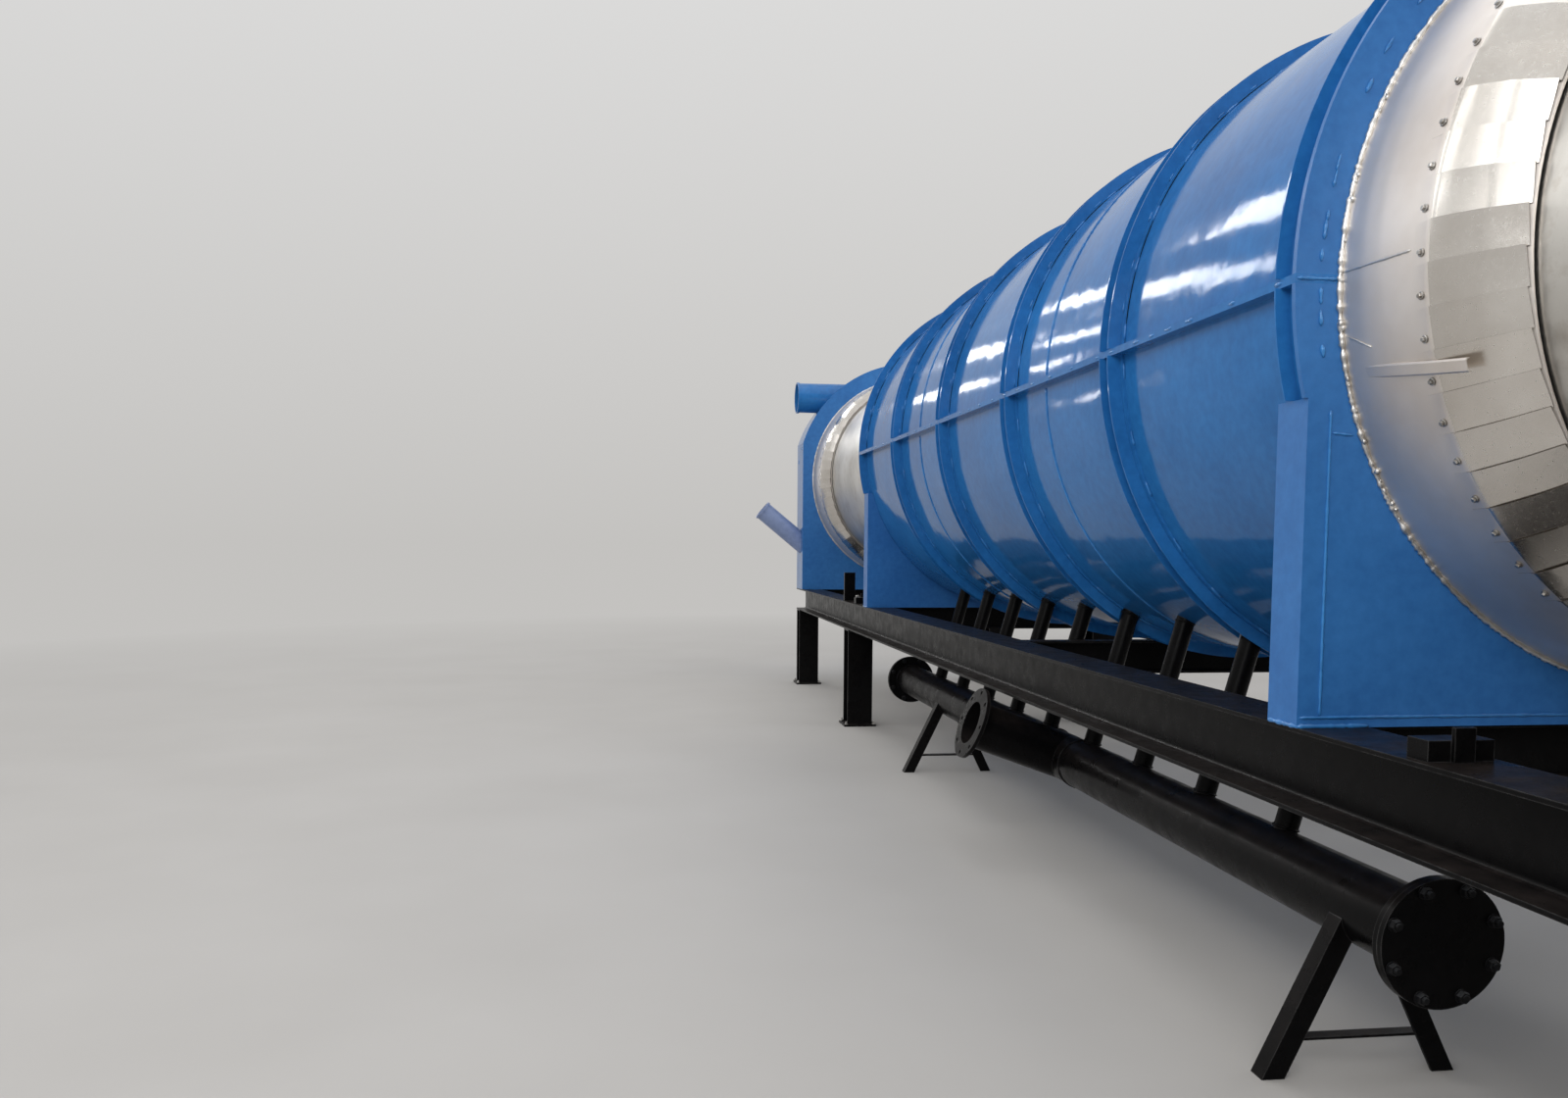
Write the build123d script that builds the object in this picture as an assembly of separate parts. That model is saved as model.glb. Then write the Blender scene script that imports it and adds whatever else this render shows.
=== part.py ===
from build123d import *
import math
import os

# A heated rotary kiln on a steel frame, in millimetres.
# X runs across the kiln, Y along its axis, Z up from the floor.
# The drum turns inside a fixed furnace shell and between two end housings.

# Heights and lengths of the whole machine
frame_top = 1000.0
shell_length = 5850.0
exposed_length = 3300.0
housing_depth = 420.0

# Furnace shell, split at axis height. Each size across is added to the one inside it.
furnace_seal_height = 150.0
end_plate_ledge = 80.0
rim_width = 40.0
shell_clearance = 4.0
skin_thickness = 12.0
split_flange_thickness = 12.0
split_flange_setback = 2.0
end_plate_thickness = 16.0

# Ring ribs: a rolled channel with its toes outward on a flat strip. At the ends of the
# furnace the end plate is the outer toe.
rib_count = 6
rib_strip_width = 120.0
rib_strip_thickness = 8.0
rib_channel_width = 76.0
rib_height = 53.0
rib_cope_clearance = 6.0
rib_web = 6.0

# Saddles that carry the shell on the frame
saddle_drop = 295.0
saddle_depth = 140.0
saddle_plate = 12.0

# Drum, tyres and rollers
drum_radius = 900.0
drum_wall = 14.0
drum_end_reach = 250.0
tyre_height = 55.0
tyre_width = 160.0
tyre_chamfer = 8.0
station_offset = 925.0
roller_radius = 180.0
roller_width = 180.0
roller_shaft_radius = 40.0
roller_half_spread = 700.0
rolling_gap = 0.3

# Fish-scale seals: a fixed band, a cone and overlapping spring leaves
seal_sheet = 4.0
seal_band_length = 300.0
seal_band_taper = 26.0
seal_reach = 470.0
seal_running_gap = 6.0
leaf_count = 66
leaf_thickness = 2.0
leaf_root_length = 34.0
leaf_lift = 1.3
leaf_twist = 2.5
leaf_overlap = 9.0

# End housings with an arched top
housing_seal_height = 120.0
housing_side_margin = 104.0
housing_arch_margin = 160.0
housing_plate = 12.0
housing_cross_member_offset = 105.0

# Gas outlet and feed spout of the far housing
gas_outlet_radius = 150.0
gas_outlet_below_arch = 347.0
gas_outlet_stub = 44.0
feed_spout_radius = 95.0
feed_spout_drop = 645.0
feed_spout_angle = 39.6
feed_spout_length = 515.0
pipe_wall = 6.0
pipe_rim = 8.0
pipe_rim_width = 22.0

# Frame: rolled sections
beam_width = 200.0
beam_height = 220.0
beam_flange = 12.0
beam_web = 8.0
beam_root_radius = 13.0
cross_width = 100.0
cross_height = 160.0
cross_flange = 9.0
cross_web = 6.0
column_width = 200.0
column_flange = 12.0
column_web = 8.0
column_base_width = 260.0
column_base_thickness = 16.0
column_cap_thickness = 12.0
column_end_inset = 100.0
column_near_inner_offset = 150.0
column_far_inner_offset = 205.0
middle_cross_y = -190.0

# Gas manifold under the left beam with its burner pipes
manifold_inset = 349.0
manifold_drop = 540.0
manifold_radius = 109.5
manifold_wall = 8.0
manifold_near_overhang = 99.0
manifold_far_inset = 92.0
manifold_flange_radius = 170.0
manifold_flange_thickness = 18.0
burner_count = 9
burner_near_inset = 675.0
burner_far_inset = 855.0
burner_radius = 38.0
burner_lean = 0.284
weld_gap = 0.3
inlet_y = -400.0
tee_half_length = 180.0
inlet_radius = 109.5
inlet_port_radius = 85.0
inlet_length = 505.0
inlet_angle = 20.0
inlet_flange_radius = 170.0
inlet_flange_thickness = 18.0
inlet_bolt_circle_radius = 147.5
inlet_bolt_count = 8
inlet_bolt_hole_radius = 11.0
stand_near_inset = 274.0
stand_far_inset = 1198.0
stand_shift = -40.0
stand_half_spread = 283.0
stand_top_half_spread = 30.0
stand_leg_width = 60.0
stand_leg_thickness = 8.0
stand_bar_height = 105.0
stand_bar_width = 40.0

# Roller stations on the frame
bed_thickness = 20.0
bed_inner_reach = 230.0
bed_margin = 134.0
bed_half_length = 190.0
bearing_offset = 135.0
bearing_width = 70.0
bearing_cap_radius = 72.0
bearing_foot_half_width = 150.0
bearing_foot_height = 30.0
shaft_clearance = 0.05
post_margin = 17.0
post_width = 90.0
post_height = 232.0
post_thickness = 30.0
screw_radius = 8.0
stop_offset = 410.0
stop_margin = 19.0
stop_width = 157.0
stop_height = 48.0
stop_depth = 70.0
stop_lug_height = 77.0
stop_lug_width = 49.0
stop_lug_thickness = 12.0

# Worked-out sizes, from the drum outwards
opening_radius = drum_radius + furnace_seal_height
skin_radius = opening_radius + end_plate_ledge
rib_outer = skin_radius + rib_height
end_plate_radius = skin_radius + rim_width
split_flange_radius = end_plate_radius
tyre_radius = drum_radius + tyre_height
seal_tip_radius = drum_radius + seal_running_gap
housing_opening_radius = drum_radius + housing_seal_height
housing_arch_radius = housing_opening_radius + housing_arch_margin
frame_half_width = housing_opening_radius + housing_side_margin
beam_half_gauge = frame_half_width - beam_width / 2
bed_inner = roller_half_spread - bed_inner_reach
bed_outer = frame_half_width - bed_margin
post_outer = frame_half_width - post_margin
post_inner = post_outer - post_width
stop_outer = frame_half_width - stop_margin
stop_inner = stop_outer - stop_width

# Worked-out places
axis_height = frame_top + skin_radius + shell_clearance
half_shell = shell_length / 2
housing_front = half_shell + exposed_length
frame_half_length = housing_front + housing_depth
station_y = half_shell + station_offset
drum_half_length = housing_front + drum_end_reach
rib_pitch = (shell_length - rib_channel_width) / (rib_count - 1)
column_near_inner = -(station_y + column_near_inner_offset)
column_far_inner = station_y - column_far_inner_offset
manifold_x = manifold_inset - frame_half_width
manifold_height = frame_top - manifold_drop
manifold_near_y = -(half_shell + manifold_near_overhang)
manifold_far_y = half_shell - manifold_far_inset
first_burner_y = burner_near_inset - half_shell
burner_pitch = (shell_length - burner_near_inset - burner_far_inset) / (burner_count - 1)
stand_near_y = manifold_near_y + stand_near_inset
stand_far_y = manifold_far_y - stand_far_inset
gas_outlet_height = axis_height + housing_arch_radius - gas_outlet_below_arch
gas_outlet_reach = frame_half_width + gas_outlet_stub
feed_spout_wall_height = axis_height - feed_spout_drop
roller_drop = math.sqrt((tyre_radius + rolling_gap + roller_radius) ** 2 - roller_half_spread ** 2)
roller_height = axis_height - roller_drop
feed_spout_rise = math.sin(math.radians(feed_spout_angle))
feed_spout_run = math.cos(math.radians(feed_spout_angle))
inlet_rise = math.sin(math.radians(inlet_angle))
inlet_run = math.cos(math.radians(inlet_angle))
left_reach = (frame_half_width + feed_spout_length * feed_spout_run
              + (feed_spout_radius + pipe_rim) * feed_spout_rise)
right_reach = max(rib_outer, split_flange_radius, frame_half_width)
# The origin is the middle of the machine's box, so the kiln axis stands to one side of it.
origin_shift = (left_reach - right_reach) / 2
big = 4 * frame_half_length
kiln_axis = Axis((0, 0, axis_height), (0, 1, 0))


def slab(section, y_low, y_high):
    """Extrude a section drawn in X and Z between two places along Y."""
    plane = Plane(origin=(0, y_high, 0), x_dir=(1, 0, 0), z_dir=(0, -1, 0))
    return extrude(plane * section, amount=y_high - y_low)


def disc(radius):
    """A circle about the kiln axis, as a section."""
    return Pos(0, axis_height) * Circle(radius)


def ring(outer, inner, y_low, y_high):
    """A ring about the kiln axis."""
    return slab(disc(outer) - disc(inner), y_low, y_high)


def block(x_low, x_high, y_low, y_high, z_low, z_high):
    """A plain block between its corners."""
    size = (x_high - x_low, y_high - y_low, z_high - z_low)
    middle = ((x_high + x_low) / 2, (y_high + y_low) / 2, (z_high + z_low) / 2)
    return Pos(*middle) * Box(*size)


def rod(start, end, radius):
    """A round bar between two points."""
    start, end = Vector(*start), Vector(*end)
    plane = Plane(origin=start, z_dir=(end - start).normalized())
    return extrude(plane * Circle(radius), amount=(end - start).length)


def above_split(solid, upper, clearance):
    """The part of a ring above or below the split, clear of the split flanges."""
    side = 1 if upper else -1
    keep = Pos(0, 0, axis_height + side * (clearance + big / 2)) * Box(big, big, big)
    return solid & keep


def mirrored_in_y(solid):
    return mirror(solid, about=Plane.XZ)


def i_section(width, height, flange, web, root_radius):
    """A rolled I section, centred."""
    pocket_width = (width - web) / 2
    section = Rectangle(width, height)
    for side in (-1, 1):
        pocket = Rectangle(pocket_width * 2, height - 2 * flange)
        pocket = fillet(pocket.vertices(), root_radius)
        section -= Pos(side * (web / 2 + pocket_width), 0) * pocket
    return section


def frame_beam(side):
    """One long rolled beam of the frame."""
    section = i_section(beam_width, beam_height, beam_flange, beam_web, beam_root_radius)
    section = Pos(side * beam_half_gauge, frame_top - beam_height / 2) * section
    return slab(section, -frame_half_length, frame_half_length)


def cross_places():
    """Where the cross members stand along the frame."""
    far = [frame_half_length - column_end_inset,
           housing_front + housing_cross_member_offset,
           station_y + bearing_offset,
           station_y - bearing_offset,
           half_shell - saddle_depth / 2]
    return [-y for y in far] + [middle_cross_y] + far[::-1]


def cross_member(y):
    """A cross member coped round the beams' flanges, flush with their tops."""
    section = i_section(cross_width, cross_height, cross_flange, cross_web, cross_flange)
    between_flanges = beam_half_gauge - beam_width / 2
    between_webs = beam_half_gauge - beam_web / 2
    plane = Plane(origin=(-between_flanges, y, frame_top - cross_height / 2),
                  x_dir=(0, 1, 0), z_dir=(1, 0, 0))
    member = extrude(plane * section, amount=2 * between_flanges)
    web = block(-between_webs, between_webs, y - cross_web / 2, y + cross_web / 2,
                frame_top - cross_height, frame_top - beam_flange - beam_root_radius)
    return member + web


def column(x, y):
    """A column with a base plate on the floor and a cap under the beam."""
    section = i_section(column_width, column_width, column_flange, column_web, column_flange)
    height = frame_top - beam_height
    shaft = extrude(Pos(x, y, column_base_thickness) * section,
                    amount=height - column_base_thickness - column_cap_thickness)
    half_base = column_base_width / 2
    base = block(x - half_base, x + half_base, y - half_base, y + half_base,
                 0, column_base_thickness)
    half_cap = column_width / 2
    cap = block(x - half_cap, x + half_cap, y - half_cap, y + half_cap,
                height - column_cap_thickness, height)
    return base + shaft + cap


def frame_columns():
    """Eight columns, in four pairs."""
    end = frame_half_length - column_end_inset - (column_base_width - column_width) / 2
    places = (-end, column_near_inner, column_far_inner, end)
    return [column(side * beam_half_gauge, y) for y in places for side in (-1, 1)]


def shell_half(upper):
    """Half of the furnace skin with its two split flanges."""
    inner_end = half_shell - end_plate_thickness
    skin = ring(skin_radius, skin_radius - skin_thickness, -inner_end, inner_end)
    half = above_split(skin, upper, 0)
    low = axis_height if upper else axis_height - split_flange_thickness
    high = low + split_flange_thickness
    opening = slab(disc(opening_radius + split_flange_setback), -half_shell, half_shell)
    for side in (-1, 1):
        inner, outer = sorted((side * (skin_radius - skin_thickness / 2), side * split_flange_radius))
        half += block(inner, outer, -half_shell, half_shell, low, high)
        for y_low in (-half_shell, inner_end):
            inner, outer = sorted((side * (opening_radius - skin_thickness), side * skin_radius))
            half += block(inner, outer, y_low, y_low + end_plate_thickness, low, high) - opening
    return half


def rib(index):
    """One ring rib in halves. An end rib starts at the end plate and its lower half stops at the saddle."""
    y = -half_shell + rib_channel_width / 2 + index * rib_pitch
    strip_top = rib_strip_thickness
    channel = Pos((strip_top + rib_height) / 2, 0) * Rectangle(rib_height - strip_top, rib_channel_width)
    groove_floor = strip_top + rib_web
    groove = (Pos((groove_floor + rib_height) / 2, 0)
              * Rectangle(rib_height - groove_floor, rib_channel_width - 2 * rib_web))
    strip = Pos(strip_top / 2, 0) * Rectangle(strip_top, rib_strip_width)
    profile = Plane(origin=(skin_radius, y, axis_height), x_dir=(1, 0, 0), z_dir=(0, 0, 1)) * (
        strip + channel - groove)
    whole = revolve(profile, axis=kiln_axis, revolution_arc=360)
    for place in burner_places():
        if abs(place - y) < rib_strip_width / 2 + burner_radius + rib_cope_clearance:
            whole -= burner_rod(place, burner_radius + rib_cope_clearance)
    inner_end = half_shell - end_plate_thickness
    whole &= block(-big, big, -inner_end, inner_end, 0, big)
    upper_half = above_split(whole, True, split_flange_thickness)
    lower_half = above_split(whole, False, split_flange_thickness)
    if index in (0, rib_count - 1):
        lower_half &= block(-big, big, -half_shell, half_shell, axis_height - saddle_drop + weld_gap, big)
    return upper_half.solids() + lower_half.solids()


def saddle_box(inset):
    """The saddle's box below the ring, drawn in by an inset."""
    top = axis_height - saddle_drop
    return (Pos(0, (frame_top + top) / 2)
            * Rectangle(2 * (frame_half_width - inset), top - frame_top - 2 * inset))


def end_plate_upper():
    """The far half ring plate above the split."""
    plate = ring(end_plate_radius, opening_radius, half_shell - end_plate_thickness, half_shell)
    return above_split(plate, True, split_flange_thickness)


def end_plate_lower():
    """The far plate below the split, one piece with the saddle's face."""
    above_saddle = Pos(0, axis_height - saddle_drop / 2) * Rectangle(big, saddle_drop)
    section = (disc(end_plate_radius) & above_saddle) + saddle_box(0) - disc(opening_radius)
    below_flange = Pos(0, axis_height - split_flange_thickness - big / 2) * Rectangle(big, big)
    return slab(section & below_flange, half_shell - end_plate_thickness, half_shell)


def saddle():
    """The far saddle behind its face plate: posts, sill and a back plate cut round the shell."""
    outer_y = half_shell - end_plate_thickness
    inner_y = half_shell - saddle_depth
    shell = disc(skin_radius + weld_gap)
    frame_part = slab(saddle_box(0) - saddle_box(saddle_plate) - shell, inner_y, outer_y)
    back = slab(saddle_box(0) - shell, inner_y, inner_y + saddle_plate)
    return frame_part + back


def seal_sheet_cone(opening):
    """A fixed band in a plate's opening and the cone under its leaves, facing -Y from y = 0."""
    tip = seal_tip_radius
    band_end = opening - seal_band_taper
    points = [(opening, housing_plate), (opening, 0), (band_end, -seal_band_length),
              (tip + seal_sheet, -seal_reach), (tip, -seal_reach),
              (band_end - seal_sheet, -seal_band_length), (opening - seal_sheet, 0),
              (opening - seal_sheet, housing_plate)]
    outline = make_face(Polyline(*points, close=True))
    profile = Plane(origin=(0, 0, axis_height), x_dir=(1, 0, 0), z_dir=(0, 0, 1)) * outline
    return revolve(profile, axis=kiln_axis, revolution_arc=360)


def seal_leaves(opening):
    """The overlapping spring leaves on that cone, each lifted over the next."""
    bend = opening - seal_band_taper + leaf_lift
    root = bend + seal_band_taper * leaf_root_length / seal_band_length
    tip = seal_tip_radius + seal_sheet + leaf_lift
    pitch_angle = 360 / leaf_count
    root_width = 2 * math.pi * bend / leaf_count + leaf_overlap
    tip_width = 2 * math.pi * tip / leaf_count + leaf_overlap
    points = [(root, -seal_band_length + leaf_root_length), (bend, -seal_band_length),
              (tip, -seal_reach), (tip + leaf_thickness, -seal_reach),
              (bend + leaf_thickness, -seal_band_length),
              (root + leaf_thickness, -seal_band_length + leaf_root_length)]
    profile = Plane(origin=(0, 0, 0), x_dir=(1, 0, 0), z_dir=(0, 0, 1)) * make_face(
        Polyline(*points, close=True))
    bent_strip = extrude(profile, amount=root_width / 2, both=True)
    trapezium = make_face(Polyline(
        (-root_width / 2, -seal_band_length + leaf_root_length),
        (root_width / 2, -seal_band_length + leaf_root_length),
        (root_width / 2, -seal_band_length), (tip_width / 2, -seal_reach),
        (-tip_width / 2, -seal_reach), (-root_width / 2, -seal_band_length), close=True))
    cutter = extrude(Plane(origin=(tip - leaf_root_length, 0, 0), x_dir=(0, 0, -1), z_dir=(1, 0, 0))
                     * trapezium, amount=opening - tip + 3 * leaf_root_length)
    leaf = bent_strip & cutter
    middle = (bend + tip) / 2
    leaf = Pos(middle, 0, 0) * Rot(0, leaf_twist, 0) * Pos(-middle, 0, 0) * leaf
    return [Pos(0, 0, axis_height) * Rot(0, index * pitch_angle, 0) * leaf
            for index in range(leaf_count)]


def housing_outline(inset):
    """The housing's section: a box with an arched top, drawn in by an inset."""
    half = frame_half_width - inset
    top = axis_height + housing_arch_radius
    box = Pos(0, (frame_top + inset + top) / 2) * Rectangle(2 * half, top - frame_top - inset)
    below_axis = Pos(0, (frame_top + axis_height) / 2) * Rectangle(2 * half, axis_height - frame_top)
    return box & (disc(housing_arch_radius - inset) + below_axis)


def housing_front_plate():
    """The far housing's plate towards the furnace, with the drum's opening."""
    section = housing_outline(0) - disc(housing_opening_radius)
    return slab(section, housing_front, housing_front + housing_plate)


def housing_casing():
    """The far housing's sides, floor, arched top and back."""
    front = housing_front + housing_plate
    outside = slab(housing_outline(0), front, frame_half_length)
    inside = slab(housing_outline(housing_plate), front, frame_half_length - housing_plate)
    return outside - inside


def gas_outlet_axis():
    y = housing_front + housing_depth / 2
    return (0, y, gas_outlet_height), (-gas_outlet_reach, y, gas_outlet_height)


def feed_spout_axis():
    y = housing_front + housing_depth / 2
    mouth = (-frame_half_width - feed_spout_length * feed_spout_run, y,
             feed_spout_wall_height + feed_spout_length * feed_spout_rise)
    inside = (-frame_half_width + feed_spout_radius * 2 * feed_spout_run, y,
              feed_spout_wall_height - feed_spout_radius * 2 * feed_spout_rise)
    return inside, mouth


def rimmed_pipe(start, end, radius):
    """A pipe with a rim at its free end."""
    direction = (Vector(*end) - Vector(*start)).normalized()
    rim_start = Vector(*end) - direction * pipe_rim_width
    body = rod(start, end, radius) + rod(tuple(rim_start), end, radius + pipe_rim)
    past_end = Vector(*end) + direction * pipe_rim_width
    return body - rod(start, tuple(past_end), radius - pipe_wall)


def manifold_axis_point(y):
    return (manifold_x, y, manifold_height)


def inlet_flange_centre():
    return (manifold_x - inlet_length * inlet_run, inlet_y, manifold_height + inlet_length * inlet_rise)


def manifold_pipe(y_low, y_high):
    """A plain length of the manifold's pipe."""
    start, end = manifold_axis_point(y_low), manifold_axis_point(y_high)
    return rod(start, end, manifold_radius) - rod(start, end, manifold_radius - manifold_wall)


def manifold_flange(y_low):
    """A ring flange on that pipe."""
    start, end = manifold_axis_point(y_low), manifold_axis_point(y_low + manifold_flange_thickness)
    return rod(start, end, manifold_flange_radius) - rod(start, end, manifold_radius - manifold_wall)


def gas_manifold():
    """The long gas pipe in two lengths, one each side of its inlet, with a flange at each free end."""
    near = manifold_pipe(manifold_near_y, inlet_y - tee_half_length) + manifold_flange(manifold_near_y)
    far = manifold_pipe(inlet_y + tee_half_length, manifold_far_y)
    far += manifold_flange(manifold_far_y - manifold_flange_thickness)
    return [near, far]


def manifold_end_disc(y_low):
    """A blind disc that closes an end of the manifold."""
    return rod(manifold_axis_point(y_low), manifold_axis_point(y_low + manifold_flange_thickness),
               manifold_flange_radius)


def manifold_inlet():
    """The tee between the manifold's two lengths, with a flanged branch to the left."""
    centre = Vector(*inlet_flange_centre())
    axis_point = manifold_axis_point(inlet_y)
    inward = (Vector(*axis_point) - centre).normalized()
    run_ends = [manifold_axis_point(inlet_y + side * tee_half_length) for side in (-1, 1)]
    branch = rod(tuple(centre), axis_point, inlet_radius)
    branch += rod(tuple(centre), tuple(centre + inward * inlet_flange_thickness), inlet_flange_radius)
    branch -= rod(tuple(centre), axis_point, inlet_radius - pipe_wall)
    branch -= rod(*run_ends, manifold_radius - manifold_wall / 2)
    face = Plane(origin=centre, z_dir=inward)
    for place in PolarLocations(inlet_bolt_circle_radius, inlet_bolt_count):
        branch -= extrude(face * place * Circle(inlet_bolt_hole_radius), amount=inlet_flange_thickness)
    run = rod(*run_ends, manifold_radius) - rod(*run_ends, manifold_radius - manifold_wall)
    run -= rod(tuple(centre), axis_point, inlet_port_radius)
    tee = run + max(branch.solids(), key=lambda solid: solid.volume)
    return max(tee.solids(), key=lambda solid: solid.volume)


def burner_places():
    """Where the burner pipes stand along the manifold."""
    return [first_burner_y + index * burner_pitch for index in range(burner_count)]


def burner_rod(y, radius):
    """A rod along a burner pipe's axis, from the manifold's axis to inside the furnace."""
    top = (manifold_x + burner_lean * skin_radius, y, manifold_height + skin_radius)
    return rod(manifold_axis_point(y), top, radius)


def burner_pipe(y):
    """A leaning pipe from the manifold up to the furnace skin."""
    pipe = burner_rod(y, burner_radius)
    pipe -= rod(manifold_axis_point(manifold_near_y), manifold_axis_point(manifold_far_y),
                manifold_radius + weld_gap)
    return pipe - slab(disc(skin_radius + weld_gap), y - 2 * burner_radius, y + 2 * burner_radius)


def manifold_stand(y):
    """A stand of two angle legs with a low cross bar."""
    stand = None
    centre = manifold_x + stand_shift
    for side in (-1, 1):
        foot = Vector(centre + side * (stand_half_spread - stand_leg_width / 2), y, 0)
        top = Vector(centre + side * stand_top_half_spread, y, manifold_height)
        along = (top - foot).normalized()
        across = Vector(0, 1, 0).cross(along) * side
        plane = Plane(origin=foot - along * stand_leg_width, x_dir=across, z_dir=along)
        angle = Rectangle(stand_leg_width, stand_leg_width) - (
            Pos(-stand_leg_thickness, stand_leg_thickness * side)
            * Rectangle(stand_leg_width, stand_leg_width))
        leg = extrude(plane * angle, amount=manifold_height + 2 * stand_leg_width)
        stand = leg if stand is None else stand + leg
    bar_half = stand_half_spread - stand_leg_width + stand_leg_thickness
    bar_front = y - stand_leg_width / 2 + stand_leg_thickness / 2
    stand += block(centre - bar_half, centre + bar_half, bar_front, bar_front + stand_bar_width,
                   stand_bar_height, stand_bar_height + stand_leg_thickness)
    stand -= rod(manifold_axis_point(-frame_half_length), manifold_axis_point(frame_half_length),
                 manifold_radius + weld_gap)
    above_floor = Pos(0, 0, manifold_height / 2) * Box(big, big, manifold_height)
    stand = stand & above_floor
    return max(stand.solids(), key=lambda solid: solid.volume)


def roller_bed():
    """The far station's bed plates, jack posts and stops."""
    pieces = []
    for side in (-1, 1):
        x_low, x_high = sorted((side * bed_inner, side * bed_outer))
        pieces.append(block(x_low, x_high, station_y - bed_half_length, station_y + bed_half_length,
                            frame_top, frame_top + bed_thickness))
        x_low, x_high = sorted((side * post_inner, side * post_outer))
        post = block(x_low, x_high, station_y - post_thickness / 2, station_y + post_thickness / 2,
                     frame_top, frame_top + post_height)
        screw_z = frame_top + bed_thickness / 2
        post += rod((side * post_outer, station_y, screw_z),
                    (side * (bed_outer + weld_gap), station_y, screw_z), screw_radius)
        pieces.append(post)
        x_low, x_high = sorted((side * stop_inner, side * stop_outer))
        y_low = half_shell + stop_offset
        y_high = y_low + stop_depth
        stop = block(x_low, x_high, y_low, y_high, frame_top, frame_top + stop_height)
        lug_middle = side * (stop_inner + stop_outer) / 2
        stop += block(lug_middle - stop_lug_width / 2, lug_middle + stop_lug_width / 2,
                      y_high, y_high + stop_lug_thickness, frame_top, frame_top + stop_lug_height)
        pieces.append(stop)
    return pieces


def bearing(side, y):
    """A pedestal bearing with a round cap over the roller's shaft."""
    x = side * roller_half_spread
    seat = frame_top + bed_thickness
    cap = Pos(x, roller_height) * Circle(bearing_cap_radius)
    body = Pos(x, (seat + roller_height) / 2) * Rectangle(2 * bearing_cap_radius, roller_height - seat)
    foot = Pos(x, seat + bearing_foot_height / 2) * Rectangle(2 * bearing_foot_half_width,
                                                             bearing_foot_height)
    hole = Pos(x, roller_height) * Circle(roller_shaft_radius + shaft_clearance)
    return slab(cap + body + foot - hole, y - bearing_width / 2, y + bearing_width / 2)


def roller(side):
    """A trunnion roller with its shaft in two bearings."""
    x = side * roller_half_spread
    rim = rod((x, station_y - roller_width / 2, roller_height),
              (x, station_y + roller_width / 2, roller_height), roller_radius)
    rim = chamfer(rim.edges(), tyre_chamfer / 2)
    reach = bearing_offset + bearing_width / 2
    shaft = rod((x, station_y - reach, roller_height), (x, station_y + reach, roller_height),
                roller_shaft_radius)
    return rim + shaft


def tyre():
    """The far tyre on the drum."""
    body = slab(disc(tyre_radius), station_y - tyre_width / 2, station_y + tyre_width / 2)
    body = chamfer(body.edges(), tyre_chamfer)
    return body - slab(disc(drum_radius), station_y - tyre_width, station_y + tyre_width)


def seal_place(y, faces_far):
    """Put a seal made about y = 0 at a plate, opening towards -Y or +Y."""
    def place(solid):
        turned = mirrored_in_y(solid) if faces_far else solid
        return Pos(0, y, 0) * turned
    return place


pieces = {
    "frame_beams": [frame_beam(-1), frame_beam(1)],
    "frame_cross_members": [cross_member(y) for y in cross_places()],
    "frame_columns": frame_columns(),
    "shell_upper": [shell_half(True)],
    "shell_lower": [shell_half(False)],
    "drum_shell": [ring(drum_radius, drum_radius - drum_wall, -drum_half_length, drum_half_length)],
    "gas_manifold": gas_manifold(),
    "manifold_end_discs": [manifold_end_disc(manifold_near_y - manifold_flange_thickness),
                           manifold_end_disc(manifold_far_y)],
    "manifold_inlet": [manifold_inlet()],
    "manifold_stands": [manifold_stand(stand_near_y), manifold_stand(stand_far_y)],
    "burner_pipes": [burner_pipe(y) for y in burner_places()],
}

for index in range(rib_count):
    pieces["rib_" + str(index + 1)] = rib(index)

far_casing = housing_casing()
outlet_start, outlet_end = gas_outlet_axis()
spout_start, spout_end = feed_spout_axis()
housing_solid = slab(housing_outline(0), housing_front, frame_half_length)
pieces["gas_outlet"] = [rimmed_pipe(outlet_start, outlet_end, gas_outlet_radius) - housing_solid]
pieces["feed_spout"] = [rimmed_pipe(spout_start, spout_end, feed_spout_radius) - housing_solid]

for end, far in (("far", True), ("near", False)):
    turn = (lambda solid: solid) if far else mirrored_in_y
    pieces["end_plate_upper_" + end] = [turn(end_plate_upper())]
    pieces["end_plate_lower_" + end] = [turn(end_plate_lower())]
    pieces["saddle_" + end] = [turn(saddle())]
    pieces["housing_front_" + end] = [turn(housing_front_plate())]
    casing = far_casing
    if far:
        casing = casing - rod(outlet_start, outlet_end, gas_outlet_radius - pipe_wall)
        casing = casing - rod(spout_start, spout_end, feed_spout_radius - pipe_wall)
    pieces["housing_casing_" + end] = [turn(casing)]
    at_furnace = seal_place(half_shell, True)
    at_housing = seal_place(housing_front, False)
    pieces["furnace_seal_" + end] = [turn(at_furnace(seal_sheet_cone(opening_radius)))]
    pieces["housing_seal_" + end] = [turn(at_housing(seal_sheet_cone(housing_opening_radius)))]
    leaves = [at_furnace(leaf) for leaf in seal_leaves(opening_radius)]
    leaves += [at_housing(leaf) for leaf in seal_leaves(housing_opening_radius)]
    pieces["seal_leaves_" + end] = [turn(leaf) for leaf in leaves]
    pieces["roller_bed_" + end] = [turn(solid) for solid in roller_bed()]
    pieces["roller_bearings_" + end] = [turn(bearing(side, station_y + offset))
                                        for side in (-1, 1)
                                        for offset in (-bearing_offset, bearing_offset)]
    pieces["tyre_" + end] = [turn(tyre())]
    pieces["roller_" + end + "_left"] = [turn(roller(-1))]
    pieces["roller_" + end + "_right"] = [turn(roller(1))]

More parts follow.
